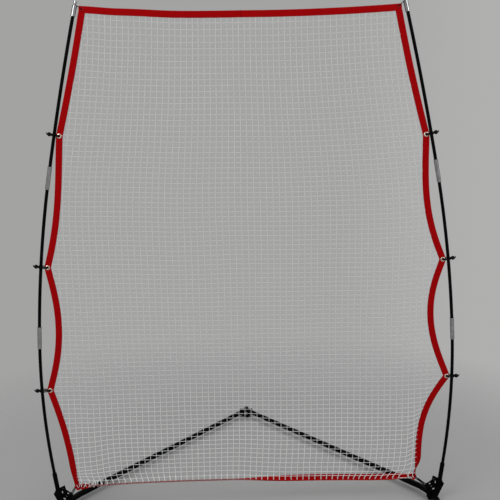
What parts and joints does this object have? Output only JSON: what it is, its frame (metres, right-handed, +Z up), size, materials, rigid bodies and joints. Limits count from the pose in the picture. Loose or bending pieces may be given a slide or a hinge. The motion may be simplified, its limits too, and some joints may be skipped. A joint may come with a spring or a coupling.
{
  "type": "pitching target net",
  "caption": "Free-standing net on a V-shaped folding base, with two bowed poles that hold a bordered square-mesh net by elastic ball clips.",
  "frame": {"origin": "on the floor, in the middle of the frame's bounding box", "axes": "+Z up, +X to the right seen from the front, +Y to the rear, from the net towards the hub"},
  "size_m": [1.6926, 1.108, 1.9999],
  "materials": {
    "black_steel": "black powder coat, satin",
    "zinc_steel": "bright zinc plate",
    "bright_metal": "drawn and lightly polished",
    "nickel": "pale nickel plate",
    "rubber": "moulded, matt",
    "black_plastic": "moulded, fine grain",
    "grey_plastic": "moulded nylon",
    "fibreglass": "pultruded rod with a black skin",
    "netting": "white knotless polyester cord",
    "webbing": "deep red woven webbing, stitched",
    "black_webbing": "black woven elastic",
    "elastic": "black braided shock cord"
  },
  "bodies": {
    "hub": {"hub_lower_plate": "black_steel", "hub_upper_plate": "black_steel", "hub_spacer": "zinc_steel", "hub_clamp_screw": "zinc_steel", "hub_washer": "zinc_steel", "hub_pivot_bolts": "zinc_steel", "hub_pivot_nuts": "zinc_steel", "hub_foot": "rubber", "net_mesh": "netting", "net_top_border": "webbing", "net_bottom_border": "webbing", "net_left_border": "webbing", "net_right_border": "webbing", "net_grommets": "nickel", "net_corner_eyelets": "webbing"},
    "knob": {"hub_knob": "black_plastic"},
    "left_leg": {"left_leg_tube": "black_steel", "left_hinge_insert": "grey_plastic", "left_elbow": "black_steel", "left_elbow_screw": "black_steel", "left_front_foot": "rubber", "left_bracket_front": "black_steel", "left_bracket_rear": "black_steel", "left_socket": "black_steel", "left_socket_plug": "rubber", "left_bracket_bolts": "black_steel", "left_bracket_nuts": "black_steel", "left_corner_strap": "black_webbing"},
    "left_pole": {"left_rod_lower": "fibreglass", "left_rod_middle": "fibreglass", "left_rod_upper": "fibreglass", "left_ferrule_lower": "bright_metal", "left_ferrule_upper": "bright_metal", "left_pole_cap": "bright_metal", "left_clip_balls": "black_plastic", "left_clip_cords": "elastic", "left_top_loop": "elastic"},
    "right_leg": {"right_leg_tube": "black_steel", "right_hinge_insert": "grey_plastic", "right_elbow": "black_steel", "right_elbow_screw": "black_steel", "right_front_foot": "rubber", "right_bracket_front": "black_steel", "right_bracket_rear": "black_steel", "right_socket": "black_steel", "right_socket_plug": "rubber", "right_bracket_bolts": "black_steel", "right_bracket_nuts": "black_steel", "right_corner_strap": "black_webbing"},
    "right_pole": {"right_rod_lower": "fibreglass", "right_rod_middle": "fibreglass", "right_rod_upper": "fibreglass", "right_ferrule_lower": "bright_metal", "right_ferrule_upper": "bright_metal", "right_pole_cap": "bright_metal", "right_clip_balls": "black_plastic", "right_clip_cords": "elastic", "right_top_loop": "elastic"}
  },
  "joints": [
    {"name": "left_leg_fold", "type": "hinge", "parent": "hub", "child": "left_leg", "pos_m": [-0.02, 0.539, 0.024], "axis": [0, 0, 1], "range_deg": [0, 32], "deforming": ["left_corner_strap", "left_clip_cords", "left_top_loop"]},
    {"name": "left_pole_lift", "type": "slide", "parent": "left_leg", "child": "left_pole", "axis": [-0.1288, 0, 0.9917], "range_m": [0, 0.07]},
    {"name": "right_leg_fold", "type": "hinge", "parent": "hub", "child": "right_leg", "pos_m": [0.02, 0.539, 0.024], "axis": [0, 0, -1], "range_deg": [0, 32], "deforming": ["right_corner_strap", "right_clip_cords", "right_top_loop"]},
    {"name": "right_pole_lift", "type": "slide", "parent": "right_leg", "child": "right_pole", "axis": [0.1288, 0, 0.9917], "range_m": [0, 0.07]},
    {"name": "knob_turn", "type": "hinge", "parent": "hub", "child": "knob", "pos_m": [0, 0.526, 0.04], "axis": [0, 0, 1], "continuous": true}
  ]
}
